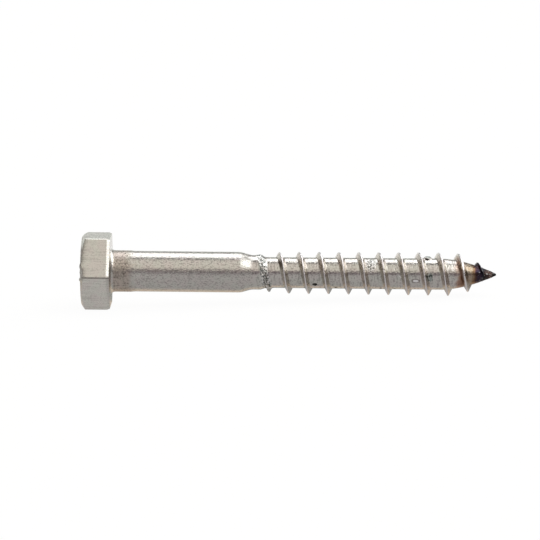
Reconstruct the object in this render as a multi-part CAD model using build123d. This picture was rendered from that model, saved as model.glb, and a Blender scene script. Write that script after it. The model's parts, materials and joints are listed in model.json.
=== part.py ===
from build123d import *
import math
import os

# A hexagon head lag screw of stainless steel: one piece of wire with a forged head, a plain
# shank, a rolled wood thread and a pinched point. Sizes are in millimetres.
# While it is built its axis is X, the bearing face under the head is at 0, the head is on the
# minus side and the point on the plus side. At the end it is laid down as it comes to rest.

# Head
flats_width = 13.0  # across the flats
head_height = 5.2
hex_corner_round = 0.3  # along the six corners
bearing_edge_bevel = 0.2  # around the rim of the bearing face
crown_inset = 0.65  # the flat crown's circle is this much smaller than the flats
crown_chamfer_angle = 30.0  # from the plane of the crown

# Shank
length = 70.0  # from the bearing face to the tip
under_head_fillet = 0.6
shank_diameter = 7.36
collar_rise = 0.14  # the stretch that the heading die held is this much thicker
collar_length = 3.8
collar_step_length = 0.3
shoulder_length = 2.6  # from the shank down to the neck
neck_diameter = 6.25  # the blank that the thread is rolled on
neck_length = 0.8  # bare, before the first trace of the ridge

# Thread
thread_length = 44.0  # from the first trace of the ridge to the tip
pitch = 3.6
root_diameter = 5.58  # behind the first turn
root_growth = 0.08  # the root is this much thicker where the point starts
root_step_start = 1.0  # behind the first trace of the ridge
root_step_length = 1.2  # from the neck down to the root
thread_diameter = 7.86  # over the last full crests
crest_growth = 0.3  # the first full crests are this much smaller
crest_width = 0.25
flank_angle = 30.0  # each flank, from square to the axis
run_in_length = 4.0  # the ridge rises to its full height over this
crest_down = 1.65  # before the tip, the first place where the ridge faces the floor

# Point
point_length = 10.0  # the root narrows over this
tip_diameter = 0.3
crest_hold = 2.0  # the crests keep their height this far onto the point
crest_shortfall = 0.74  # and would meet the axis this far before the tip
bare_tip_share = 0.16  # of the point, left without a ridge

# How the round shapes are drawn
step_shares = (0.0, 0.25, 0.75, 1.0)  # where the points of a step lie
fillet_stations = 3
point_stations = 4
stations_per_turn = 8
small_step = 0.0001  # along the axis, to find the direction of a line
buried_share = 0.85  # the ridge's foot is sunk to this share of the root
faded_share = 0.93  # where the ridge runs out, its crest is at this share of the root

os.makedirs("parts", exist_ok=True)

ridge_first_x = length - thread_length
ridge_last_x = length - point_length * bare_tip_share
root_first_x = ridge_first_x + root_step_start + root_step_length
point_x = length - point_length


def between(low, high, share):
    """The value this share of the way from low to high, never past either."""
    return low + (high - low) * min(1.0, max(0.0, share))


def root_radius(x):
    """The radius of the core between the ridges, which narrows as a parabola on the point."""
    grown = (x - root_first_x) / (point_x - root_first_x)
    along = between(root_diameter, root_diameter + root_growth, grown) / 2
    narrowing = max(0.0, (x - point_x) / point_length) ** 2
    return along - (along - tip_diameter / 2) * narrowing


def crest_radius(x):
    """The radius of the ridge's crest, which rises from the neck and fades out on the point."""
    narrow_x = point_x + crest_hold
    grown = (x - ridge_first_x) / (narrow_x - ridge_first_x)
    full = between(thread_diameter - crest_growth, thread_diameter, grown) / 2
    rise = 1 - (1 - between(0.0, 1.0, (x - ridge_first_x) / run_in_length)) ** 2
    narrowing = max(0.0, (x - narrow_x) / (length - crest_shortfall - narrow_x)) ** 2
    faded = root_radius(x) * faded_share
    return max(faded, (faded + (full - faded) * rise) * (1 - narrowing))


def make_head():
    """The hexagon, lying on a flat, with its crown chamfered and its edges eased."""
    hexagon = RegularPolygon(flats_width / 2, 6, major_radius=False)
    hexagon = fillet(hexagon.vertices(), hex_corner_round)
    prism = extrude(Plane.YZ * hexagon, -head_height)
    corner_reach = flats_width / math.sqrt(3)
    crown_reach = (flats_width - crown_inset) / 2
    drop = (corner_reach - crown_reach) * math.tan(math.radians(crown_chamfer_angle))
    turned_outline = Polyline(
        (0, 0),
        (0, corner_reach),
        (drop - head_height, corner_reach),
        (-head_height, crown_reach),
        (-head_height, 0),
        close=True,
    )
    head = prism & revolve(make_face(turned_outline), Axis.X)
    rim = head.faces().sort_by(Axis.X)[-1].edges()
    return chamfer(rim, bearing_edge_bevel)


def throat_points(collar_radius):
    """The hollow round that leads from the bearing face onto the collar."""
    points = []
    for i in range(fillet_stations + 1):
        angle = math.pi / 2 * i / fillet_stations
        x = under_head_fillet * (1 - math.cos(angle))
        points.append((x, collar_radius + under_head_fillet * (1 - math.sin(angle))))
    return points


def step_points(x1, r1, x2, r2):
    """A step between two radii, gentle where it leaves each of them."""
    points = []
    for share in step_shares:
        points.append((between(x1, x2, share), between(r1, r2, share**2 * (3 - 2 * share))))
    return points


def point_points():
    """The core's outline on the point, down to the small flat at the tip."""
    stations = [between(point_x, length, i / point_stations) for i in range(point_stations + 1)]
    return [(x, root_radius(x)) for x in stations]


def make_core():
    """Throat, collar, shank, shoulder, neck and root as one turned shape, down to the tip."""
    shank, neck, root = shank_diameter / 2, neck_diameter / 2, root_diameter / 2
    collar = shank + collar_rise / 2
    sunk_x = -head_height / 2
    neck_x = ridge_first_x - neck_length
    outline = [(sunk_x, 0), (sunk_x, collar + under_head_fillet)]
    outline += throat_points(collar)
    outline += [(collar_length, collar), (collar_length + collar_step_length, shank)]
    outline += step_points(neck_x - shoulder_length, shank, neck_x, neck)
    outline += [(ridge_first_x + root_step_start, neck), (root_first_x, root)]
    outline += point_points()
    outline += [(length, 0)]
    return revolve(make_face(Polyline(*outline, close=True)), Axis.X)


def ridge_section(x):
    """The four corners of the ridge's section where its crest passes x, in order around it."""
    angle = math.radians(270) + math.tau * (x - length + crest_down) / pitch
    foot, crest = root_radius(x) * buried_share, crest_radius(x)
    half = crest_width / 2
    spread = half + (crest - foot) * math.tan(math.radians(flank_angle))
    corners = [(-spread, foot), (-half, crest), (half, crest), (spread, foot)]
    return [Vector(x + offset, r * math.cos(angle), r * math.sin(angle)) for offset, r in corners]


def wind(corner, first, last):
    """The line that one corner of the section follows for a turn, smooth from turn to turn."""
    stations = [between(first, last, i / stations_per_turn) for i in range(stations_per_turn + 1)]
    points = [ridge_section(x)[corner] for x in stations]
    directions = []
    for x in (first, last):
        step = ridge_section(x + small_step)[corner] - ridge_section(x - small_step)[corner]
        directions.append(step / (2 * small_step))
    return Edge.make_spline(points, tangents=directions, parameters=stations, scale=False)


def make_ridge():
    """The thread's ridge: strips wound around the core turn by turn, closed at both ends."""
    turns = math.ceil((ridge_last_x - ridge_first_x) / pitch)
    bounds = [between(ridge_first_x, ridge_last_x, turn / turns) for turn in range(turns + 1)]
    faces = []
    for first, last in zip(bounds, bounds[1:]):
        edges = [wind(corner, first, last) for corner in range(4)]
        for edge, following in zip(edges, edges[1:] + edges[:1]):
            faces.append(Face.make_surface_from_curves(edge, following))
    for x in (ridge_first_x, ridge_last_x):
        faces.append(make_face(Polyline(*ridge_section(x), close=True)).face())
    return Solid(Shell(faces))


def resting_angle():
    """How far the point leans down, in degrees, before a crest touches the floor that a flat of
    the head lies on."""
    turns = range(math.floor(thread_length / pitch))
    crests = [length - crest_down + crest_width / 2 - pitch * turn for turn in turns]
    leans = [
        math.atan2(flats_width / 2 - crest_radius(x), x + bearing_edge_bevel) for x in crests
    ]
    return math.degrees(min(leans))


def make_lag_screw():
    """The whole screw, lying as it comes to rest, with its bearing face's centre at the origin."""
    screw = make_head() + make_core() + make_ridge()
    return screw.rotate(Axis.Y, resting_angle())


lag_screw = make_lag_screw()
lag_screw.label = "lag_screw"
export_step(lag_screw, "parts/lag_screw.step")
print("resting angle in degrees:", round(resting_angle(), 3))
print("volume in cubic mm:", round(lag_screw.volume, 1))
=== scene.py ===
import json
import math

import bmesh
import bpy
from bpy.props import FloatProperty, FloatVectorProperty, IntProperty, PointerProperty
from mathutils import Matrix, Quaternion, Vector, noise


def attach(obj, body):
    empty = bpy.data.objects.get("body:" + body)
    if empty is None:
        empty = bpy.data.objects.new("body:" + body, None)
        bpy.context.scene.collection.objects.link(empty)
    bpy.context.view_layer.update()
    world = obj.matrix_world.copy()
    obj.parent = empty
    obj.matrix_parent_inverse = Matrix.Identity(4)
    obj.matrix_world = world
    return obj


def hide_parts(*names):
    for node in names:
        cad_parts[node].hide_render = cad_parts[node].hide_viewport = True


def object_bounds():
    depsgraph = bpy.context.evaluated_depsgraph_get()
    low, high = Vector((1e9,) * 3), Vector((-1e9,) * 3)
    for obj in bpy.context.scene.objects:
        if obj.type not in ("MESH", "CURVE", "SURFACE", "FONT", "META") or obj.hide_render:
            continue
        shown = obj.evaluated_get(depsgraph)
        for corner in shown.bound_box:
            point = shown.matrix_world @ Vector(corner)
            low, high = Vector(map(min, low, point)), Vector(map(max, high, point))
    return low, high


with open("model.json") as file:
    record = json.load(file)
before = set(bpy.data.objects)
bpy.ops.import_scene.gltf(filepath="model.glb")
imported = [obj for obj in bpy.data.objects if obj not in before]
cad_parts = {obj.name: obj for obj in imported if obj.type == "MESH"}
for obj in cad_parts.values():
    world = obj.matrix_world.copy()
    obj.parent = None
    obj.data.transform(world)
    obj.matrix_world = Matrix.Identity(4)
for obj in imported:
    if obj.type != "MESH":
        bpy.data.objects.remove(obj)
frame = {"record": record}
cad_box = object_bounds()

bl_info = {
    "name": "Lag Screw",
    "version": (1, 0, 0),
    "blender": (4, 5, 0),
    "location": "3D View > Sidebar > Lag Screw",
    "description": "Models a hexagon head lag screw, its steel, and the white table that it lies on",
    "category": "Add Mesh",
}

MM = 0.001  # a millimetre in metres

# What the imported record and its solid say
MOUNTS = {mount["name"]: mount for mount in frame["record"]["mounts"]}
SCREW_AXIS = Vector(MOUNTS["bearing_face"]["axis"])
CROWN_CENTRE = Vector(MOUNTS["crown_face"]["pos_m"])
UPPER_FLAT = MOUNTS["spanner_flat_upper"]
THREAD_RADIUS = MOUNTS["wood_thread"]["dims"]["r_mm"] * MM
LEAN = math.atan2(-SCREW_AXIS.z, SCREW_AXIS.x)
ACROSS_FLATS = 2 * Vector(UPPER_FLAT["pos_m"]).dot(Vector(UPPER_FLAT["axis"]))
FLOOR_HEIGHT = cad_box[0].z

# The floor's direction around the axis, and the distances at which vertices become one
DOWN = math.radians(270)
MERGE = 0.001 * MM
FINE_MERGE = 0.02 * MM

# Pits in the grooves: place along the screw in millimetres and around it in degrees, half their
# length, half their width and their depth in millimetres
PITS = (
    (36.95, 219, 0.56, 0.42, 0.16),
    (40.75, 237, 0.42, 0.24, 0.09),
    (48.85, 239, 0.26, 0.2, 0.07),
    (51.4, 246, 0.32, 0.18, 0.07),
)
# Two raised marks, by the same measures
FLAKE = (55.05, 197, 0.6, 0.32, -0.07)
BURR = (57.3, 90, 0.75, 0.75, -0.42)
# The power that shapes the sides of the pits and the flake, and the steeper sides of the burr
PIT_SIDE = 1.5
BURR_SIDE = 0.5
# Marks that only the material has, among them the painted shadow under the burr, by the same measures
# without a depth, and how far the scratch is turned
SMEAR = (47.1, 134, 1.0, 1.7)
SCAB = (57.6, 182, 0.6, 0.95)
PAINTED_BURR_SHADOW = (57.2, 106, 0.55, 0.3)
AROUND_FLAKE = (55.05, 197, 0.85, 0.5)
SCRATCH = (52.25, 181, 0.95, 0.07)
SCRATCH_TURN = math.radians(-39)


def length_of(name, description, default):
    """A length that a user may change, in metres."""
    return FloatProperty(
        name=name, description=description, default=default, min=0.0, unit="LENGTH", precision=5
    )


def share_of(name, description, default, top=1.0):
    """A share that a user may change."""
    return FloatProperty(
        name=name, description=description, default=default, min=0.0, max=top, subtype="FACTOR"
    )


def colour_of(name, description, default):
    """A colour that a user may change."""
    return FloatVectorProperty(
        name=name, description=description, default=default, size=3, min=0.0, subtype="COLOR"
    )


def angle_of(name, description, degrees):
    """An angle that a user may change."""
    return FloatProperty(
        name=name, description=description, default=math.radians(degrees), unit="ROTATION"
    )


class ScrewSizes(bpy.types.PropertyGroup):
    """The sizes of the screw."""

    across_flats: length_of("Across flats", "Width of the head across two flats", ACROSS_FLATS)
    head_height: length_of("Head height", "From the bearing face to the crown", CROWN_CENTRE.length)
    corner_round: length_of("Corner round", "Radius of the six long edges", 0.4 * MM)
    rim_length: length_of("Rim length", "Length of the bevel around the bearing face", 0.54 * MM)
    rim_inset: length_of("Rim inset", "How far that bevel leans in", 0.2 * MM)
    crown_inset: length_of("Crown inset", "The flat crown is this much smaller than the flats", 0.65 * MM)
    crown_slope: angle_of("Crown slope", "Slope of the chamfer around the crown", 30)
    crown_round: length_of("Crown round", "Width of the eased edges of the chamfer", 0.09 * MM)
    length: length_of("Length", "From the bearing face to the tip", 69.7 * MM)
    throat_round: length_of("Throat", "Radius of the hollow round under the head", 0.82 * MM)
    shank_diameter: length_of("Shank diameter", "Diameter of the plain shank", 7.36 * MM)
    collar_rise: length_of("Collar rise", "The collar under the head is this much thicker", 0.14 * MM)
    collar_length: length_of("Collar length", "From the bearing face to the collar's end", 3.4 * MM)
    collar_step: length_of("Collar step", "Length of the step from the collar to the shank", 1.2 * MM)
    shoulder_length: length_of("Shoulder", "Length of the step from the shank to the neck", 2.75 * MM)
    neck_diameter: length_of("Neck diameter", "Diameter of the neck before the thread", 6.25 * MM)
    neck_length: length_of("Neck length", "Bare length of the neck", 0.15 * MM)
    thread_length: length_of("Thread length", "From the first trace of the ridge to the tip", 43.7 * MM)
    pitch: length_of("Pitch", "From one crest to the next", 3.6 * MM)
    thread_diameter: length_of("Thread diameter", "Over the last full crests", 2 * THREAD_RADIUS)
    crest_growth: length_of("Crest growth", "The first full crests are this much smaller", 0.3 * MM)
    crest_width: length_of("Crest width", "Width of the crest", 0.17 * MM)
    flank_angle: angle_of("Flank angle", "Each flank, from square to the axis", 26)
    root_diameter: length_of("Root diameter", "Diameter between the ridges", 5.58 * MM)
    root_growth: length_of("Root growth", "The root is this much thicker at the point", 0.08 * MM)
    root_first: length_of("Root step place", "From the first trace of the ridge to the root's step", 1 * MM)
    root_step: length_of("Root step", "Length of the step from the neck to the root", 1.2 * MM)
    run_in: length_of("Run-in", "The ridge rises to its full height over this", 5.8 * MM)
    crest_down: length_of("Last crest", "From the tip back to the last crest on the floor side", 1.35 * MM)
    point_length: length_of("Point length", "The root narrows over this", 10 * MM)
    crest_hold: length_of("Crest hold", "The crests keep their height this far onto the point", 1.6 * MM)
    crest_shortfall: length_of("Crest shortfall", "The crests would end this far before the tip", 0.74 * MM)
    tip_diameter: length_of("Tip diameter", "Diameter of the blunt tip", 0.3 * MM)
    point_bow: share_of("Point bow", "2 for a round point and 1 for a straight one", 1.78, 2.0)
    steps_per_turn: IntProperty(
        name="Steps per turn", description="Sections in one turn of the thread", default=120, min=24
    )


def clamped(value):
    """The value, or 0 or 1 where it is outside them."""
    return min(1.0, max(0.0, value))


def ease(low, high, value):
    """0 below low, 1 above high and a smooth rise between them."""
    share = clamped((value - low) / (high - low))
    return share * share * (3 - 2 * share)


def neck_start(s):
    """Where the neck begins, from the bearing face."""
    return s.length - s.thread_length - s.neck_length


def core_radius(s, x):
    """Radius of the screw without its ridge: collar, shank, shoulder, neck, root and point."""
    ridge_x = s.length - s.thread_length
    root_x = ridge_x + s.root_first
    point_x = s.length - s.point_length
    shank = s.shank_diameter / 2
    collar = s.collar_rise / 2 * (1 - ease(s.collar_length, s.collar_length + s.collar_step, x))
    shoulder = ease(neck_start(s) - s.shoulder_length, neck_start(s), x)
    outer = shank + collar + (s.neck_diameter / 2 - shank) * shoulder
    grown = clamped((x - root_x) / (point_x - root_x))
    root = (s.root_diameter + s.root_growth * grown) / 2
    radius = outer + (root - outer) * ease(root_x, root_x + s.root_step, x)
    narrowing = max(0.0, (x - point_x) / s.point_length) ** s.point_bow
    return max(s.tip_diameter / 2, radius - (radius - s.tip_diameter / 2) * narrowing)


# Where the ridge has run out, its crest is at this share of the root
HIDDEN_SHARE = 0.93


def crest_radius(s, x):
    """Radius of the ridge's crest, which rises from the neck and fades out on the point."""
    ridge_x = s.length - s.thread_length
    narrow_x = s.length - s.point_length + s.crest_hold
    grown = clamped((x - ridge_x) / (narrow_x - ridge_x))
    full = (s.thread_diameter - s.crest_growth * (1 - grown)) / 2
    rise = 1 - (1 - clamped((x - ridge_x) / s.run_in)) ** 2
    narrowing = max(0.0, (x - narrow_x) / (s.length - s.crest_shortfall - narrow_x)) ** 2
    hidden = HIDDEN_SHARE * s.root_diameter / 2
    return (hidden + (full - hidden) * rise) * (1 - narrowing)


def crest_place(s, around):
    """A place along the axis where the crest crosses this direction around it."""
    return s.length - s.crest_down + s.pitch * (around - DOWN) / math.tau


# The thread's outline: the share of the crest's width that is rounded at each side, the round at the
# ridge's foot, and about how far apart its vertices are
CREST_ROUND_SHARE = 0.3
FOOT_ROUND = 0.12 * MM
OUTLINE_STEP = 0.21 * MM


def wind_thread(bm, s):
    """Spins one pitch of the thread's outline round the axis and repeats it along the thread; returns
    half the ridge's width at its foot."""
    root, crest, half = s.root_diameter / 2, s.thread_diameter / 2, s.crest_width / 2
    foot = half + (crest - root) * math.tan(s.flank_angle)
    end = s.pitch / 2
    turns_back = math.ceil((s.length - neck_start(s) - s.crest_down + end) / s.pitch)
    turns_on = math.ceil((s.crest_down + end) / s.pitch)
    first_x = s.length - s.crest_down - turns_back * s.pitch
    outline = [(-end, root), (-foot, root), (-half, crest), (half, crest), (foot, root), (end, root)]
    verts = [bm.verts.new((first_x + offset, 0, -radius)) for offset, radius in outline]
    for pair in zip(verts, verts[1:]):
        bm.edges.new(pair)
    crest_corners = (verts[2:4], s.crest_width * CREST_ROUND_SHARE, 2)
    foot_corners = ([verts[1], verts[4]], FOOT_ROUND, 3)
    for corners, width, segments in (crest_corners, foot_corners):
        bmesh.ops.bevel(
            bm, geom=corners, offset=width, offset_type="OFFSET", segments=segments, profile=0.5,
            affect="VERTICES", material=-1,
        )
    for edge in list(bm.edges):
        cuts = round(edge.calc_length() / OUTLINE_STEP)
        if cuts:
            bmesh.ops.subdivide_edges(bm, edges=[edge], cuts=cuts)
    bmesh.ops.spin(
        bm, geom=bm.verts[:] + bm.edges[:], cent=(0, 0, 0), axis=(1, 0, 0),
        dvec=(s.pitch / s.steps_per_turn, 0, 0), angle=math.tau, steps=s.steps_per_turn,
        use_merge=False, use_duplicate=False,
    )
    turn = bm.verts[:] + bm.edges[:] + bm.faces[:]
    for i in range(1, turns_back + turns_on):
        made = bmesh.ops.duplicate(bm, geom=turn)["geom"]
        verts = [item for item in made if isinstance(item, bmesh.types.BMVert)]
        bmesh.ops.translate(bm, verts=verts, vec=(s.pitch * i, 0, 0))
    bmesh.ops.remove_doubles(bm, verts=bm.verts, dist=MERGE)
    return foot


# The ridge layer is full where the ridge has this share of its height
WHOLE_RIDGE_SHARE = 0.5


def shape_thread(bm, s, foot):
    """Gives the wound ridge its height and the core its radius, place by place, and writes how far up
    the ridge each vertex is into the layer ridge. The layer chatter is filled later."""
    bm.verts.layers.float.new("chatter")
    ridge = bm.verts.layers.float.new("ridge")
    root, crest, half = s.root_diameter / 2, s.thread_diameter / 2, s.crest_width / 2
    end = s.pitch / 2
    for vert in bm.verts:
        around = math.atan2(vert.co.z, vert.co.y)
        offset = (vert.co.x - crest_place(s, around) + end) % s.pitch - end
        crest_x = vert.co.x - offset
        share = (math.hypot(vert.co.y, vert.co.z) - root) / (crest - root)
        rise = max(0.0, crest_radius(s, crest_x) - core_radius(s, crest_x))
        width = half + rise * math.tan(s.flank_angle)
        if abs(offset) <= foot:
            offset *= width / foot
        else:
            spread = width + (abs(offset) - foot) * (end - width) / (end - foot)
            offset = math.copysign(spread, offset)
        x = crest_x + offset
        radius = core_radius(s, x) + share * rise
        vert.co = (x, radius * math.cos(around), radius * math.sin(around))
        vert[ridge] = share * min(1.0, rise / (WHOLE_RIDGE_SHARE * (crest - root)))


def trim_thread(bm, s):
    """Cuts the wound surface square at the neck and at the tip; returns the neck's rim."""
    for x, keep in ((neck_start(s), "clear_inner"), (s.length, "clear_outer")):
        bmesh.ops.bisect_plane(
            bm, geom=bm.verts[:] + bm.edges[:] + bm.faces[:], dist=MERGE, plane_co=(x, 0, 0),
            plane_no=(1, 0, 0), **{keep: True},
        )
    rims = [edge for edge in bm.edges if edge.is_boundary]
    tip = [edge for edge in rims if edge.verts[0].co.x > neck_start(s) + s.pitch]
    bmesh.ops.edgeloop_fill(bm, edges=tip)
    neck = [vert for vert in bm.verts if vert.is_boundary]
    neck.sort(key=lambda vert: math.atan2(vert.co.z, vert.co.y))
    bmesh.ops.remove_doubles(bm, verts=neck, dist=FINE_MERGE)
    return [edge for edge in bm.edges if edge.is_boundary]


def extend(bm, rim, place):
    """Extrudes a rim and puts each new vertex where place says; returns the new rim."""
    made = bmesh.ops.extrude_edge_only(bm, edges=rim)["geom"]
    verts = {item for item in made if isinstance(item, bmesh.types.BMVert)}
    for vert in verts:
        vert.co = place(vert.co.copy())
    edges = [item for item in made if isinstance(item, bmesh.types.BMEdge)]
    return [edge for edge in edges if verts.issuperset(edge.verts)]


def turned(x, radius):
    """A place for extend: on a circle of this radius, at this distance along the axis."""

    def place(co):
        scale = radius / math.hypot(co.y, co.z)
        return Vector((x, co.y * scale, co.z * scale))

    return place


def part_way(place, share):
    """A place for extend: this share of the way to another place."""
    return lambda co: co.lerp(place(co), share)


def spaced(first, last, most):
    """Evenly spaced places from first to last, at most this far apart, without the first."""
    count = math.ceil(abs(last - first) / most)
    return [first + (last - first) * (i + 1) / count for i in range(count)]


def draw_shank(bm, s, rim):
    """Extrudes the neck's rim to the bearing face: shoulder, shank, collar and throat."""
    # Where each stretch ends, and how far apart its rings are
    stretches = (
        (neck_start(s) - s.shoulder_length, 0.2 * MM),
        (s.collar_length + s.collar_step, 0.8 * MM),
        (s.collar_length, 0.15 * MM),
        (s.throat_round, 0.4 * MM),
    )
    first = neck_start(s)
    for last, most in stretches:
        for x in spaced(first, last, most):
            rim = extend(bm, rim, turned(x, core_radius(s, x)))
        first = last
    collar = core_radius(s, 0)
    for angle in spaced(0, math.radians(90), math.radians(12)):
        x = s.throat_round * (1 - math.sin(angle))
        rim = extend(bm, rim, turned(x, collar + s.throat_round * (1 - math.cos(angle))))
    return rim


# Shares of the rim bevel's length and inset, from the flat to the bearing face
RIM_OUTLINE = ((0.05, 0.02), (0.45, 0.4), (0.86, 0.8), (0.95, 0.91), (0.99, 1.05), (1.0, 1.3))

# The rings that hold the head's faces, as shares of the way across each: the bearing face inwards,
# the flats towards the crown, the chamfer inwards, and the crown from its circle to its centre
BEARING_RINGS = (0.05, 0.5)
FLAT_RINGS = (0.04, 0.2, 0.4, 0.6, 0.8, 1.0)
CHAMFER_RINGS = (0.35, 0.7)
CROWN_RINGS = (0.97, 0.75, 0.5, 0.25, 0.06)

CORNER_SEGMENTS = 6
FLAT_CUTS = 20
SEAT_MARGIN = 0.2 * MM  # from the throat to the innermost ring of the bearing face
# Shares of the crown round's width: one ring beside the chamfer's outer edge, one by the crown's
CHAMFER_EASE = 0.35
CROWN_EASE = 0.1


def forge_head(bm, s):
    """The hexagon: a bevelled six-sided circle, extruded both ways; returns the bearing face's
    innermost ring, which the throat joins."""
    turned_up = Matrix.Rotation(math.radians(90), 4, "Y")
    reach = s.across_flats / math.sqrt(3)
    ring = bmesh.ops.create_circle(bm, cap_ends=False, segments=6, radius=reach, matrix=turned_up)
    bmesh.ops.bevel(
        bm, geom=ring["verts"], offset=s.corner_round * math.tan(math.radians(30)),
        offset_type="OFFSET", segments=CORNER_SEGMENTS, profile=0.5, affect="VERTICES", material=-1,
    )
    hexagon = [edge for edge in bm.edges if edge.is_wire]
    flats = [edge for edge in hexagon if edge.calc_length() > s.corner_round]
    bmesh.ops.subdivide_edges(bm, edges=flats, cuts=FLAT_CUTS)
    start = [edge for edge in bm.edges if edge.is_wire]
    corners = list({vert for edge in start for vert in edge.verts})
    bmesh.ops.translate(bm, verts=corners, vec=(-s.rim_length, 0, 0))

    rim = start
    half = s.across_flats / 2
    taken = 0.0
    for length, depth in RIM_OUTLINE:
        x = s.rim_length * (length - 1)
        scale = (half - s.rim_inset * depth) / (half - s.rim_inset * taken)
        rim = extend(bm, rim, lambda co, x=x, scale=scale: Vector((x, co.y * scale, co.z * scale)))
        taken = depth
    by_throat = turned(0, core_radius(s, 0) + s.throat_round + SEAT_MARGIN)
    for share in BEARING_RINGS:
        rim = extend(bm, rim, part_way(by_throat, share))
    seat = extend(bm, rim, by_throat)

    crown = (s.across_flats - s.crown_inset) / 2
    slope = math.tan(s.crown_slope)

    def chamfer_x(co):
        return (math.hypot(co.y, co.z) - crown) * slope - s.head_height

    def on_flat(share):
        def place(co):
            reach = chamfer_x(co) + s.crown_round + s.rim_length
            return Vector((-s.rim_length + reach * share, co.y, co.z))

        return place

    def on_chamfer(back, inward):
        return lambda co: Vector((chamfer_x(co) + back, *(co.yz * (1 - inward / co.yz.length))))

    eased = s.crown_round * CHAMFER_EASE
    rim = start
    for share in FLAT_RINGS:
        rim = extend(bm, rim, on_flat(share))
    rim = extend(bm, rim, on_chamfer(eased, eased))
    rim = extend(bm, rim, on_chamfer(0, s.crown_round))
    for share in CHAMFER_RINGS:
        rim = extend(bm, rim, part_way(turned(-s.head_height, crown), share))
    rim = extend(bm, rim, turned(s.crown_round * slope - s.head_height, crown + s.crown_round))
    rim = extend(bm, rim, turned(-s.head_height + s.crown_round * CROWN_EASE, crown))
    rim = extend(bm, rim, turned(-s.head_height, crown - s.crown_round))
    for share in CROWN_RINGS:
        rim = extend(bm, rim, turned(-s.head_height, crown * share))
    bmesh.ops.edgeloop_fill(bm, edges=rim)
    return seat


def mark_centre(along, around, radius):
    """A place on the core, in millimetres."""
    angle = math.radians(around)
    return Vector((along, radius * math.cos(angle), radius * math.sin(angle)))


# Where the first turn is torn and the point crusty, along the screw in millimetres: not at all at the
# first number and wholly at the second, or the other way round where a stretch ends. The torn part
# also ends at this distance from the crest.
TORN_START = (26.1, 26.6)
TORN_END = (28.9, 29.7)
TORN_SIDES = (0.5, 0.9)
CRUST_START = (65.6, 67.2)

# Heights of the wear in millimetres
CREST_WEAR = 0.045
WAVES = 0.006
TORN_RISE = 0.06
TORN_LUMPS = 0.16
CRUST_LUMPS = 0.08
CRUST_GRAINS = 0.06
RAGGED_EDGE = 0.25  # of a mark, as a share of its size


def wear_thread(bm, s):
    """Sculpts ragged crests, the torn first turn, pits, a flake, a burr and the crusty point."""
    ridge = bm.verts.layers.float["ridge"]
    chatter = bm.verts.layers.float["chatter"]
    pitch = s.pitch / MM
    first_x = neck_start(s) / MM
    last_x = s.length / MM
    marks = []
    for along, around, half_length, half_width, depth in (*PITS, FLAKE, BURR):
        centre = mark_centre(along, around, s.root_diameter / MM / 2)
        side = BURR_SIDE if depth == BURR[-1] else PIT_SIDE
        marks.append((centre, half_length, half_width, depth, side))
    for vert in bm.verts:
        place = vert.co / MM
        along = place.x
        ragged = 0.5 + noise.noise(place * 1.3) + 0.5 * noise.noise(place * 4.1)
        up = -CREST_WEAR * vert[ridge] ** 2 * ragged + WAVES * noise.noise(place * 2.3)
        crest_x = crest_place(s, math.atan2(place.z, place.y)) / MM
        offset = (along - crest_x + pitch / 2) % pitch - pitch / 2
        on_first_turn = ease(*TORN_START, along) * (1 - ease(*TORN_END, along))
        vert[chatter] = on_first_turn * (1 - ease(*TORN_SIDES, abs(offset)))
        up += vert[chatter] * (TORN_RISE + TORN_LUMPS * noise.noise(place * 2.9))
        lumps = CRUST_LUMPS * noise.noise(place * 2.1) + CRUST_GRAINS * noise.noise(place * 4.7)
        up += ease(*CRUST_START, along) * lumps
        for centre, half_length, half_width, depth, side in marks:
            if abs(along - centre.x) < half_length:
                aside = math.hypot(place.y - centre.y, place.z - centre.z) / half_width
                gap = math.hypot((along - centre.x) / half_length, aside)
                gap += RAGGED_EDGE * noise.noise(place * 5.3)
                if gap < 1:
                    up -= depth * (1 - gap * gap) ** side
        up *= ease(first_x, first_x + 0.5, along) * (1 - ease(last_x - 0.5, last_x - 0.1, along))
        out = Vector((0, place.y, place.z)).normalized()
        vert.co += out * up * MM


# The flash on the crown's rim: where it starts and ends around the axis in degrees, how far from the
# axis it starts, how far before the crown it starts, and its height and lumps, in millimetres
FLASH_START = (150, 160)
FLASH_END = (186, 194)
FLASH_REACH = (5.9, 6.3)
FLASH_BEFORE_CROWN = (1.1, 0.3)
FLASH_HEIGHT = 0.08
FLASH_LUMPS = 0.32


def raise_flash(bm, s):
    """Draws the crown's rim out into the ragged flash that the die left on the near side."""
    first, last = (s.head_height / MM - before for before in FLASH_BEFORE_CROWN)
    for vert in bm.verts:
        place = vert.co / MM
        around = math.degrees(math.atan2(place.z, place.y)) % 360
        near = ease(*FLASH_START, around) * (1 - ease(*FLASH_END, around))
        outer = ease(*FLASH_REACH, math.hypot(place.y, place.z))
        height = max(0.0, FLASH_HEIGHT + FLASH_LUMPS * noise.noise(place * 1.4))
        vert.co.x -= near * outer * ease(first, last, -place.x) * height * MM


def model_screw(s):
    """The whole screw as one closed mesh, laid down as the frame's screw lies."""
    bm = bmesh.new()
    foot = wind_thread(bm, s)
    shape_thread(bm, s, foot)
    wear_thread(bm, s)
    rim = trim_thread(bm, s)
    shank_rim = draw_shank(bm, s, rim)
    seat = forge_head(bm, s)
    raise_flash(bm, s)
    bmesh.ops.triangle_fill(bm, use_beauty=True, edges=shank_rim + seat, normal=(1, 0, 0))
    bmesh.ops.remove_doubles(bm, verts=bm.verts, dist=MERGE)
    bmesh.ops.recalc_face_normals(bm, faces=bm.faces)
    for face in bm.faces:
        face.smooth = True
        face.material_index = 0 if face.calc_center_median().x <= MERGE else 1
    bmesh.ops.rotate(bm, cent=(0, 0, 0), matrix=Matrix.Rotation(LEAN, 3, "Y"), verts=bm.verts)
    return bm


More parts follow.
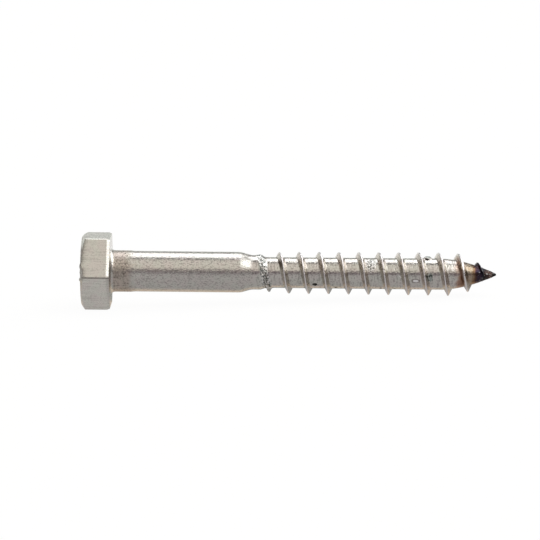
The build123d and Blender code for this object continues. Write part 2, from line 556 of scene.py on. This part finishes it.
class SteelFinish(bpy.types.PropertyGroup):
    """The colours and the surface of the steel."""

    head_colour: colour_of("Head colour", "Forged steel of the head", (0.67, 0.655, 0.62))
    body_colour: colour_of("Body colour", "Drawn and rolled steel", (0.67, 0.65, 0.62))
    # Also the colour of the painted shadow under the burr
    pit_and_shadow_colour: colour_of("Pit colour", "Scale in the pits", (0.02, 0.018, 0.016))
    torn_dark: colour_of("Torn dark", "Hollows of the steel that the rolling dies tore", (0.17, 0.19, 0.18))
    torn_light: colour_of("Torn light", "Peaks of the steel that the rolling dies tore", (0.95, 0.95, 0.94))
    head_roughness: share_of("Head roughness", "Roughness of the forged head", 0.3)
    body_roughness: share_of("Body roughness", "Roughness of the shank and the thread", 0.13)
    peel_height: length_of("Peel height", "Height of the orange peel", 0.028 * MM)
    line_height: length_of("Line height", "Height of the lines that drawing left", 0.02 * MM)
    heat_tint: share_of("Heat tint", "Strength of the tint on the point", 1.0)


def paint(colour):
    """A colour with its fourth channel."""
    return (*colour, 1.0)


class Bench:
    """A short way to lay the nodes of one tree."""

    def __init__(self, tree):
        self.tree = tree

    def add(self, kind, inputs=(), **options):
        """A node with its options set, and its inputs set or linked."""
        node = self.tree.nodes.new(kind)
        for name, value in options.items():
            setattr(node, name, value)
        for key, value in dict(inputs).items():
            if isinstance(value, bpy.types.NodeSocket):
                self.tree.links.new(value, node.inputs[key])
            else:
                node.inputs[key].default_value = value
        return node

    def math(self, operation, *values):
        """The result of an operation on numbers."""
        return self.add("ShaderNodeMath", enumerate(values), operation=operation).outputs[0]

    def vector(self, operation, *values):
        """The result of an operation on vectors."""
        return self.add("ShaderNodeVectorMath", enumerate(values), operation=operation).outputs[0]

    def rise(self, value, low, high, first=0.0, last=1.0):
        """Goes smoothly from first to last while the value goes from low to high."""
        ends = {"Value": value, "From Min": low, "From Max": high, "To Min": first, "To Max": last}
        return self.add("ShaderNodeMapRange", ends, interpolation_type="SMOOTHSTEP").outputs["Result"]

    def blend(self, share, first, second):
        """A number between two."""
        ends = {0: share, 2: first, 3: second}
        return self.add("ShaderNodeMix", ends, data_type="FLOAT").outputs[0]

    def mix(self, share, first, second, blend_type="MIX"):
        """A colour between two, or one multiplied by the other."""
        ends = {0: share, 6: first, 7: second}
        return self.add("ShaderNodeMix", ends, data_type="RGBA", blend_type=blend_type).outputs[2]

    def tint(self, share, colour, tint):
        """The colour multiplied by a tint, as far as share says."""
        return self.mix(share, colour, paint(tint), "MULTIPLY")

    def cover(self, share, colour, over):
        """The colour with another laid over it, as far as share says."""
        return self.mix(share, colour, paint(over))

    def grain(self, place, scale, detail=2.0):
        """Noise around a half."""
        inputs = {"Vector": place, "Scale": scale, "Detail": detail}
        return self.add("ShaderNodeTexNoise", inputs).outputs[0]

    def largest(self, *values):
        """The largest of some masks."""
        top = values[0]
        for value in values[1:]:
            top = self.math("MAXIMUM", top, value)
        return top

    def ramp(self, value, stops):
        """A colour ramp with these places and colours."""
        node = self.add("ShaderNodeValToRGB", {0: value})
        elements = node.color_ramp.elements
        elements.remove(elements[-1])
        for i, (place, colour) in enumerate(stops):
            element = elements[0] if i == 0 else elements.new(place)
            element.position = place
            element.color = paint(colour)
        return node.outputs["Color"]


def start_group(name, inputs, outputs):
    """A node group with these sockets; returns its bench, its inputs and its output node."""
    tree = bpy.data.node_groups.new(name, "ShaderNodeTree")
    for way, sockets in (("INPUT", inputs), ("OUTPUT", outputs)):
        for socket, kind in sockets:
            tree.interface.new_socket(name=socket, in_out=way, socket_type="NodeSocket" + kind)
    bench = Bench(tree)
    return bench, bench.add("NodeGroupInput").outputs, bench.add("NodeGroupOutput").inputs


def skin_group():
    """Orange peel with lines one way, as drawing, forging and rolling leave it."""
    bench, given, put = start_group(
        "worked_skin",
        (
            ("Place", "Vector"), ("Stretch", "Vector"), ("Scale", "Float"), ("Peel", "Float"),
            ("Lines", "Float"),
        ),
        (("Height", "Float"), ("Tone", "Float")),
    )
    drawn_out = bench.vector("MULTIPLY", given["Place"], given["Stretch"])
    peel = bench.grain(given["Place"], given["Scale"], 2)
    lines = bench.grain(drawn_out, given["Scale"], 3)
    raised = bench.math("MULTIPLY", bench.math("SUBTRACT", peel, 0.5), given["Peel"])
    cut = bench.math("MULTIPLY", bench.math("SUBTRACT", lines, 0.5), given["Lines"])
    link = bench.tree.links.new
    link(bench.math("ADD", raised, cut), put["Height"])
    link(bench.math("MULTIPLY", bench.math("ADD", peel, lines), 0.5), put["Tone"])
    return bench.tree


PINK_CAST = (1.0, 0.972, 0.972)
GREEN_CAST = (0.98, 1.0, 0.976)
SPECK_COLOUR = (0.1, 0.085, 0.08)


def cast_group():
    """Steel's colour with darker specks, and a cast that drifts between pink and green."""
    bench, given, put = start_group(
        "steel_cast",
        (("Place", "Vector"), ("Colour", "Color"), ("Tone", "Float"), ("Depth", "Float")),
        (("Colour", "Color"),),
    )
    drift = bench.rise(bench.grain(given["Place"], 0.55, 3), 0.38, 0.62)
    cast = bench.mix(drift, paint(PINK_CAST), paint(GREEN_CAST))
    tinted = bench.mix(1.0, given["Colour"], cast, "MULTIPLY")
    speck = bench.rise(given["Tone"], 0.52, 0.38)
    darker = bench.cover(bench.math("MULTIPLY", speck, given["Depth"]), tinted, SPECK_COLOUR)
    bench.tree.links.new(darker, put["Colour"])
    return bench.tree


def mark_group():
    """The mask of one oval mark with a ragged edge."""
    bench, given, put = start_group(
        "oval_mark",
        (
            ("Place", "Vector"), ("Centre", "Vector"), ("Size", "Vector"), ("Turn", "Float"),
            ("Ragged", "Float"),
        ),
        (("Mask", "Float"),),
    )
    away = bench.vector("SUBTRACT", given["Place"], given["Centre"])
    turned_away = bench.add(
        "ShaderNodeVectorRotate", {"Vector": away, "Angle": given["Turn"]}, rotation_type="Y_AXIS"
    ).outputs[0]
    shares = bench.vector("DIVIDE", turned_away, given["Size"])
    gap = bench.add("ShaderNodeVectorMath", {0: shares}, operation="LENGTH").outputs["Value"]
    grain = bench.math("SUBTRACT", bench.grain(given["Place"], 3.5, 3), 0.5)
    edge = bench.math("ADD", gap, bench.math("MULTIPLY", grain, given["Ragged"]))
    bench.tree.links.new(bench.rise(edge, 0.7, 1.0, 1.0, 0.0), put["Mask"])
    return bench.tree


def start_material(name):
    """A material with its bench, its shader, and its place on the screw in millimetres."""
    material = bpy.data.materials.new(name)
    material.use_nodes = True
    bench = Bench(material.node_tree)
    coordinates = bench.add("ShaderNodeTexCoord").outputs["Object"]
    laid_straight = {"Vector": coordinates, "Rotation": (0, -LEAN, 0), "Scale": [1 / MM] * 3}
    place = bench.add("ShaderNodeMapping", laid_straight).outputs[0]
    return material, bench, bench.tree.nodes["Principled BSDF"], place


def finish_material(bench, shader, colour, metal, rough, height):
    """Links or sets the shader's colour, metal and roughness, and gives it the height in
    millimetres as a bump."""
    bump = bench.add("ShaderNodeBump", {"Height": height, "Distance": MM}).outputs[0]
    looks = {"Base Color": colour, "Metallic": metal, "Roughness": rough, "Normal": bump}
    for name, value in looks.items():
        if isinstance(value, bpy.types.NodeSocket):
            bench.tree.links.new(value, shader.inputs[name])
        else:
            shader.inputs[name].default_value = value


# A painted reflection of the dark front: a dark line along the corner that faces the camera. It shows
# beyond this y, in millimetres, and fades out at this height above and below the corner
PAINTED_CORNER_LINE_SIDE = (-6.8, -7.0)
PAINTED_CORNER_LINE_HALF_WIDTH = (0.07, 0.16)
PAINTED_CORNER_LINE_TINT = (0.52, 0.5, 0.49)


def head_steel(finish, groups):
    """Forged steel with the die's drag lines along the flats, and a painted reflection: a dark line along
    the corner that faces the camera.
    """
    material, bench, shader, place = start_material("forged_head_steel")
    skin = bench.add(
        "ShaderNodeGroup", {
            "Place": place, "Stretch": (0.04, 1, 1), "Scale": 3.6,
            "Peel": 0.25 * finish.peel_height / MM, "Lines": 1.8 * finish.line_height / MM,
        }, node_tree=groups["skin"],
    ).outputs
    colour = bench.add(
        "ShaderNodeGroup", {
            "Place": place, "Colour": paint(finish.head_colour), "Tone": skin["Tone"], "Depth": 0.2,
        }, node_tree=groups["cast"],
    ).outputs[0]
    _, y, z = bench.add("ShaderNodeSeparateXYZ", {0: place}).outputs
    aside = bench.math("ABSOLUTE", bench.math("ADD", z, bench.math("MULTIPLY", skin["Tone"], 0.1)))
    # Painted reflection: a dark line on the corner that faces the camera
    near = bench.rise(y, *PAINTED_CORNER_LINE_SIDE)
    painted_corner_line = bench.math("MULTIPLY", bench.rise(aside, *PAINTED_CORNER_LINE_HALF_WIDTH, 1.0, 0.0), near)
    colour = bench.tint(painted_corner_line, colour, PAINTED_CORNER_LINE_TINT)
    rough = finish.head_roughness
    rough = bench.rise(skin["Tone"], 0.35, 0.65, rough + 0.06, rough - 0.06)
    finish_material(bench, shader, colour, 1.0, rough, skin["Height"])
    return material


# Heat tint: places along the screw in millimetres, and what the steel's colour is multiplied by
HEAT_TINT = (
    (62.0, (1.0, 1.0, 1.0)),
    (62.9, (0.66, 0.48, 0.4)),
    (63.6, (0.36, 0.2, 0.13)),
    (64.2, (0.62, 0.56, 0.5)),
    (64.9, (0.62, 0.52, 0.42)),
    (65.6, (0.36, 0.22, 0.13)),
    (66.1, (0.14, 0.075, 0.08)),
    (66.7, (0.05, 0.04, 0.08)),
    (67.5, (0.03, 0.035, 0.05)),
    (68.3, (0.16, 0.09, 0.075)),
    (69.0, (0.04, 0.04, 0.045)),
)
HEAT_END = 70.0

# Tints that the body's colour is multiplied by, and colours that are laid over it
FLANK_TINT = (0.99, 0.94, 0.9)
# Painted shade in the crease at the ridge's foot
FOOT_SHADE_TINT = (0.8, 0.75, 0.71)
COLLAR_TINT = (0.78, 0.72, 0.68)
SCAB_TINT = (0.5, 0.54, 0.52)
AROUND_FLAKE_TINT = (0.42, 0.39, 0.38)
# Burnished crests, lightened further by a painted highlight along them
CREST_SHEEN_COLOUR = (0.84, 0.81, 0.83)
FLECK_COLOUR = (0.5, 0.49, 0.47)
BARE_COLOUR = (0.95, 0.93, 0.93)


def body_steel(finish, groups, root_radius):
    """Drawn and rolled steel: shank, thread, and the point that heat turned brown, blue and black.
    The marks lie on the root, whose radius is given in millimetres."""
    material, bench, shader, place = start_material("rolled_body_steel")
    math_node, rise = bench.math, bench.rise
    along = bench.add("ShaderNodeSeparateXYZ", {0: place}).outputs["X"]
    ridge = bench.add("ShaderNodeAttribute", attribute_name="ridge").outputs["Fac"]
    chatter = bench.add("ShaderNodeAttribute", attribute_name="chatter").outputs["Fac"]
    wobble = math_node("SUBTRACT", bench.grain(place, 0.9, 4), 0.5)
    wavy = math_node("MULTIPLY_ADD", wobble, 2.4, along)

    def mark(along, around, half_length, half_width, turn=0.0, ragged=1.2):
        centre = mark_centre(along, around, root_radius)
        size = (half_length, half_width, half_width)
        inputs = {"Place": place, "Centre": centre, "Size": size, "Turn": turn, "Ragged": ragged}
        return bench.add("ShaderNodeGroup", inputs, node_tree=groups["mark"]).outputs[0]

    def skin(stretch, scale, peel, lines):
        inputs = {"Place": place, "Stretch": stretch, "Scale": scale, "Peel": peel, "Lines": lines}
        return bench.add("ShaderNodeGroup", inputs, node_tree=groups["skin"]).outputs

    # Four skins: as drawn, as rolled, as torn, and as the heading die gripped it
    peel, line = finish.peel_height / MM, finish.line_height / MM
    drawn = skin((0.42, 1, 1), 4.6, 1.4 * peel, 1.3 * line)
    rolled = skin((1, 0.16, 0.16), 3.6, 1.7 * peel, 1.8 * line)
    coarse = skin((1, 1, 1), 2.9, 3.6 * peel, 2.4 * line)
    gripped = skin((0.6, 1, 1), 3.9, 2.6 * peel, 2.6 * line)

    # Where each thing is
    on_thread = rise(along, 25.4, 26.2)
    on_collar = math_node("MULTIPLY", rise(along, 0.35, 0.7), rise(wavy, 2.8, 4.8, 1.0, 0.0))
    on_ridge = math_node("MULTIPLY", rise(ridge, 0.05, 0.4), 0.45)
    flank = math_node("MULTIPLY", rise(ridge, 0.03, 0.15), rise(ridge, 0.8, 0.97, 1.0, 0.0))
    foot = math_node("MULTIPLY", rise(ridge, 0.0, 0.02), rise(ridge, 0.03, 0.09, 1.0, 0.0))
    crest = rise(ridge, 0.86, 0.97)
    silver = math_node("MULTIPLY", rise(ridge, 0.5, 0.85), rise(along, 65.6, 66.2, 1.0, 0.0))
    crust = rise(wavy, 66.3, 67.4)
    flecks = math_node("MULTIPLY", crust, rise(bench.grain(place, 2.6, 2), 0.6, 0.66))
    smear = mark(*SMEAR)
    scab = bench.largest(mark(*SCAB), mark(*BURR[:4], ragged=0.4))
    # The pits' scale, and the painted shadow under the burr laid on in the same dark colour
    pits = bench.largest(mark(*PAINTED_BURR_SHADOW), *(mark(*pit[:4]) for pit in PITS))
    bare = bench.largest(mark(*FLAKE[:4], ragged=0.4), mark(*SCRATCH, SCRATCH_TURN, 0.1))
    around_flake = mark(*AROUND_FLAKE, ragged=0.7)
    torn = bench.largest(chatter, math_node("MULTIPLY", smear, 0.6), scab)
    torn = math_node("MULTIPLY", torn, 0.85)
    rough_part = bench.largest(chatter, smear, scab, crust)
    coarse_part = math_node("MAXIMUM", rough_part, on_ridge)
    rough_part = math_node("MAXIMUM", rough_part, on_collar)

    height = bench.blend(on_thread, drawn["Height"], rolled["Height"])
    height = math_node("MULTIPLY_ADD", coarse["Height"], coarse_part, height)
    height = math_node("MULTIPLY_ADD", gripped["Height"], on_collar, height)
    tone = bench.blend(on_thread, drawn["Tone"], rolled["Tone"])
    tone = bench.blend(on_collar, tone, gripped["Tone"])
    tone = bench.blend(coarse_part, tone, coarse["Tone"])

    colour = bench.add(
        "ShaderNodeGroup", {
            "Place": place, "Colour": paint(finish.body_colour), "Tone": tone,
            "Depth": bench.blend(rough_part, 0.42, 0.7),
        }, node_tree=groups["cast"],
    ).outputs[0]
    colour = bench.tint(flank, colour, FLANK_TINT)
    colour = bench.tint(on_collar, colour, COLLAR_TINT)
    # Burnished crests, with a painted highlight laid along them
    colour = bench.cover(crest, colour, CREST_SHEEN_COLOUR)
    mottle = bench.mix(rise(tone, 0.42, 0.58), paint(finish.torn_dark), paint(finish.torn_light))
    colour = bench.mix(torn, colour, mottle)
    colour = bench.tint(scab, colour, SCAB_TINT)
    # Painted shade along the crease at the ridge's foot
    colour = bench.tint(foot, colour, FOOT_SHADE_TINT)
    first = HEAT_TINT[0][0]
    heated = {"Value": wavy, "From Min": first, "From Max": HEAT_END}
    heated = bench.add("ShaderNodeMapRange", heated).outputs[0]
    stops = [((x - first) / (HEAT_END - first), tint) for x, tint in HEAT_TINT]
    tinted = math_node("MULTIPLY", math_node("SUBTRACT", 1.0, silver), finish.heat_tint)
    colour = bench.mix(tinted, colour, bench.ramp(heated, stops), "MULTIPLY")
    colour = bench.cover(flecks, colour, FLECK_COLOUR)
    colour = bench.tint(around_flake, colour, AROUND_FLAKE_TINT)
    # The pits' scale and the painted shadow under the burr
    colour = bench.cover(pits, colour, finish.pit_and_shadow_colour)
    colour = bench.cover(bare, colour, BARE_COLOUR)

    rough = finish.body_roughness
    rough = rise(tone, 0.35, 0.65, rough + 0.04, rough - 0.04)
    for share, roughness in ((rough_part, 0.28), (crust, 0.42), (flecks, 0.25), (pits, 0.8)):
        rough = bench.blend(share, rough, roughness)
    dull = bench.largest(math_node("MULTIPLY", pits, 0.8), math_node("MULTIPLY", crust, 0.25))
    metal = math_node("SUBTRACT", 1.0, dull)
    finish_material(bench, shader, colour, metal, rough, height)
    return material


class LAG_SCREW_OT_model_screw(bpy.types.Operator):
    """Model the lag screw and give it its steel"""

    bl_idname = "lag_screw.model_screw"
    bl_label = "Model the screw"

    def execute(self, context):
        sizes = context.scene.screw_sizes
        finish = context.scene.screw_finish
        bm = model_screw(sizes)
        open_edges = sum(not edge.is_manifold for edge in bm.edges)
        triangles = sum(len(face.verts) - 2 for face in bm.faces)
        print("faces", len(bm.faces), "triangles", triangles, "open edges", open_edges)
        mesh = bpy.data.meshes.new("lag_screw_body")
        bm.to_mesh(mesh)
        bm.free()
        body = bpy.data.objects.new("lag_screw_body", mesh)
        context.scene.collection.objects.link(body)
        groups = {"skin": skin_group(), "cast": cast_group(), "mark": mark_group()}
        mesh.materials.append(head_steel(finish, groups))
        mesh.materials.append(body_steel(finish, groups, sizes.root_diameter / MM / 2))
        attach(body, "root")
        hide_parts("lag_screw")
        return {"FINISHED"}


class StudioSettings(bpy.types.PropertyGroup):
    """The table, the light and the camera."""

    camera_distance: length_of("Camera distance", "From the camera to what it looks at", 516 * MM)
    camera_azimuth: angle_of("Camera azimuth", "How far the camera stands towards the point", 0.6)
    camera_height: angle_of("Camera elevation", "How far the camera looks down", 10)
    camera_roll: angle_of("Camera roll", "How far the camera is turned about its own line of sight", -1.9)
    looked_at: length_of("Looked at", "Place along the screw in the middle of the picture", 28.81 * MM)


LENS = 190
SENSOR_WIDTH = 36
LOOKED_ABOVE = 0.45 * MM  # the camera looks this far above the screw's axis

# Light from the front horizon over the top to the back horizon: degrees and colour
STUDIO_BANDS = (
    (0, (0.22, 0.19, 0.2)),
    (17, (0.22, 0.19, 0.2)),
    (26, (0.8, 0.75, 0.68)),
    (83, (0.84, 0.8, 0.74)),
    (86, (0.1, 0.095, 0.095)),
    (97, (0.1, 0.095, 0.095)),
    (100, (2.2, 2.2, 2.2)),
    (134, (2.2, 2.2, 2.2)),
    (139, (0.33, 0.34, 0.33)),
    (162, (0.33, 0.34, 0.33)),
    (169, (1.0, 1.02, 0.98)),
    (180, (1.06, 1.08, 1.04)),
)
# The soft box on the right, the dark beside and above it, and the dim left, low and high
KEY_LIGHT = (2.4, 2.4, 2.36)
RIGHT_DARK = (0.26, 0.25, 0.24)
LEFT_LOW = (0.5, 0.49, 0.48)
LEFT_HIGH = (0.13, 0.11, 0.095)

# What the steel mirrors of the table, from the front to the back, and on the left and far right: painted
# shade and light in the table's glow, grey shade in front and by the crests, warm light under the screw, a
# painted shadow band, white behind, shade on the left and a painted bright strip far right
TABLE_FRONT_SHADE = (0.46, 0.45, 0.45)
TABLE_BY_HEAD = (0.62, 0.605, 0.6)
TABLE_BY_CRESTS_SHADE = (0.38, 0.4, 0.41)
TABLE_UNDER_LIGHT = (0.76, 0.65, 0.54)
TABLE_SHADE = (0.36, 0.37, 0.35)
TABLE_BEHIND = (1.12, 1.12, 1.12)
TABLE_LEFT_SHADE = (0.4, 0.38, 0.37)
TABLE_FAR_RIGHT_GLOW = (2.4, 2.4, 2.4)

TABLE_RADIUS = 1.5
TABLE_CLOTH = (0.5, 0.49, 0.48)  # the part of the table that takes shade
TABLE_SEEN = (1.06, 1.06, 1.06)  # what the camera sees of its glow
TABLE_GLOW = 0.9  # the glow's share for the camera and for mirrors


def light_world(scene):
    """A white studio: soft boxes over the table with dark gaps between them, a bright box on the
    right, and the far right and the left dim."""
    world = bpy.data.worlds.new("studio_light")
    world.use_nodes = True
    world.node_tree.nodes.clear()
    bench = Bench(world.node_tree)
    way = bench.add("ShaderNodeTexCoord").outputs["Generated"]
    x, y, z = bench.add("ShaderNodeSeparateXYZ", {0: way}).outputs
    angle = bench.math("ARCTAN2", z, bench.math("MULTIPLY", y, -1.0))
    stops = [(degrees / 180, colour) for degrees, colour in STUDIO_BANDS]
    bands = bench.ramp(bench.math("DIVIDE", angle, math.pi), stops)
    in_degrees = bench.math("MULTIPLY", angle, 180 / math.pi)
    overhead = bench.rise(in_degrees, 92, 100)
    right = bench.rise(x, 0.22, 0.46)
    far_right = bench.rise(x, 0.8, 0.92)
    light = bench.cover(bench.math("MULTIPLY", right, overhead), bands, RIGHT_DARK)
    boxed = bench.math("MULTIPLY", right, bench.rise(in_degrees, 36, 58))
    blocked = bench.math("MULTIPLY", overhead, bench.rise(x, 0.58, 0.46))
    boxed = bench.math("MULTIPLY", boxed, bench.math("SUBTRACT", 1.0, blocked))
    light = bench.cover(boxed, light, KEY_LIGHT)
    light = bench.cover(far_right, light, RIGHT_DARK)
    dim = bench.mix(bench.rise(z, 0.2, 0.45), paint(LEFT_LOW), paint(LEFT_HIGH))
    left = bench.math("MULTIPLY", bench.rise(x, -0.3, -0.5), bench.rise(y, 0.8, 0.6))
    light = bench.mix(left, light, dim)
    boxes = bench.add("ShaderNodeBackground", {"Color": light})
    white = bench.add("ShaderNodeBackground", {"Color": (1, 1, 1, 1)})
    seen = bench.add("ShaderNodeLightPath").outputs["Is Camera Ray"]
    both = bench.add("ShaderNodeMixShader", {0: seen, 1: boxes.outputs[0], 2: white.outputs[0]})
    bench.add("ShaderNodeOutputWorld", {"Surface": both.outputs[0]})
    scene.world = world


def lay_floor(scene):
    """The white table that the screw lies on. For mirrors its glow is painted with shade and light by place
    on the table.
    """
    bm = bmesh.new()
    bmesh.ops.create_circle(bm, cap_ends=True, segments=96, radius=TABLE_RADIUS)
    bmesh.ops.translate(bm, verts=bm.verts, vec=(0, 0, FLOOR_HEIGHT))
    mesh = bpy.data.meshes.new("floor")
    bm.to_mesh(mesh)
    bm.free()
    floor = bpy.data.objects.new("floor", mesh)
    scene.collection.objects.link(floor)
    material = bpy.data.materials.new("white_table_painted_light")
    material.use_nodes = True
    material.node_tree.nodes.clear()
    bench = Bench(material.node_tree)
    place = bench.add("ShaderNodeTexCoord").outputs["Object"]
    x, y, _ = bench.add("ShaderNodeSeparateXYZ", {0: place}).outputs

    def past(across, first, last):
        """Goes from 0 to 1 between these places on the table, in millimetres."""
        return bench.rise(across, first * MM, last * MM)

    # Painted shade and light in what the steel mirrors of the table
    front = bench.mix(past(x, 3, -1), paint(TABLE_FRONT_SHADE), paint(TABLE_BY_HEAD))
    by_crests = bench.math("MULTIPLY", past(y, 1.2, 1.9), past(x, 23, 25))
    under = bench.mix(by_crests, paint(TABLE_UNDER_LIGHT), paint(TABLE_BY_CRESTS_SHADE))
    painted_table_light = bench.mix(past(y, -1.5, 0), front, under)
    behind = past(y, 25, 60)
    zones = (
        (past(y, 3.6, 6.2), TABLE_SHADE),
        (behind, TABLE_BEHIND),
        (past(x, -10, -40), TABLE_LEFT_SHADE),
        (bench.math("MULTIPLY", behind, past(x, 75, 120)), TABLE_FAR_RIGHT_GLOW),
    )
    for share, colour in zones:
        painted_table_light = bench.cover(share, painted_table_light, colour)
    path = bench.add("ShaderNodeLightPath").outputs
    lit = bench.cover(path["Is Camera Ray"], painted_table_light, TABLE_SEEN)
    direct = bench.math("ADD", path["Is Camera Ray"], path["Is Glossy Ray"])
    direct = bench.math("MINIMUM", bench.math("ADD", direct, path["Is Transmission Ray"]), 1.0)
    share = bench.math("MULTIPLY", direct, TABLE_GLOW)
    cloth = bench.add("ShaderNodeBsdfDiffuse", {"Color": paint(TABLE_CLOTH)})
    white = bench.add("ShaderNodeEmission", {"Color": lit})
    both = bench.add("ShaderNodeMixShader", {0: share, 1: cloth.outputs[0], 2: white.outputs[0]})
    bench.add("ShaderNodeOutputMaterial", {"Surface": both.outputs[0]})
    mesh.materials.append(material)


def aim_camera(scene, studio):
    """The camera, at the photograph's distance and angle."""
    camera = bpy.data.objects.new("camera", bpy.data.cameras.new("camera"))
    scene.collection.objects.link(camera)
    camera.data.sensor_width = SENSOR_WIDTH
    camera.data.lens = LENS
    camera.data.clip_start = 0.01
    turn, height = studio.camera_azimuth, studio.camera_height
    back = Vector((
        math.sin(turn) * math.cos(height), -math.cos(turn) * math.cos(height), math.sin(height)
    ))
    centre = SCREW_AXIS * studio.looked_at + Vector((0, 0, LOOKED_ABOVE))
    camera.location = centre + back * studio.camera_distance
    camera.rotation_mode = "QUATERNION"
    roll = Quaternion((0, 0, 1), studio.camera_roll)
    camera.rotation_quaternion = (-back).to_track_quat("-Z", "Y") @ roll
    scene.camera = camera


class LAG_SCREW_OT_set_stage(bpy.types.Operator):
    """Lay the white table, light it and set up the camera"""

    bl_idname = "lag_screw.set_stage"
    bl_label = "Set the stage"

    def execute(self, context):
        light_world(context.scene)
        lay_floor(context.scene)
        aim_camera(context.scene, context.scene.screw_studio)
        context.scene.view_settings.view_transform = "Standard"
        return {"FINISHED"}


class LAG_SCREW_PT_panel(bpy.types.Panel):
    """The screw's sizes and the buttons that make it."""

    bl_idname = "LAG_SCREW_PT_panel"
    bl_label = "Lag Screw"
    bl_space_type = "VIEW_3D"
    bl_region_type = "UI"
    bl_category = "Lag Screw"

    def draw(self, context):
        scene = context.scene
        for group in (scene.screw_sizes, scene.screw_finish, scene.screw_studio):
            box = self.layout.box()
            for name in group.__annotations__:
                box.prop(group, name)
        self.layout.operator(LAG_SCREW_OT_model_screw.bl_idname)
        self.layout.operator(LAG_SCREW_OT_set_stage.bl_idname)


CLASSES = (
    ScrewSizes,
    SteelFinish,
    StudioSettings,
    LAG_SCREW_OT_model_screw,
    LAG_SCREW_OT_set_stage,
    LAG_SCREW_PT_panel,
)


def register():
    """Adds the classes and their settings to Blender."""
    for cls in CLASSES:
        bpy.utils.register_class(cls)
    bpy.types.Scene.screw_sizes = PointerProperty(type=ScrewSizes)
    bpy.types.Scene.screw_finish = PointerProperty(type=SteelFinish)
    bpy.types.Scene.screw_studio = PointerProperty(type=StudioSettings)


def unregister():
    """Takes the settings and the classes away again."""
    del bpy.types.Scene.screw_studio
    del bpy.types.Scene.screw_finish
    del bpy.types.Scene.screw_sizes
    for cls in reversed(CLASSES):
        bpy.utils.unregister_class(cls)


def main():
    """Makes the screw and its stage."""
    register()
    bpy.ops.lag_screw.model_screw()
    bpy.ops.lag_screw.set_stage()


if __name__ == "__main__":
    main()
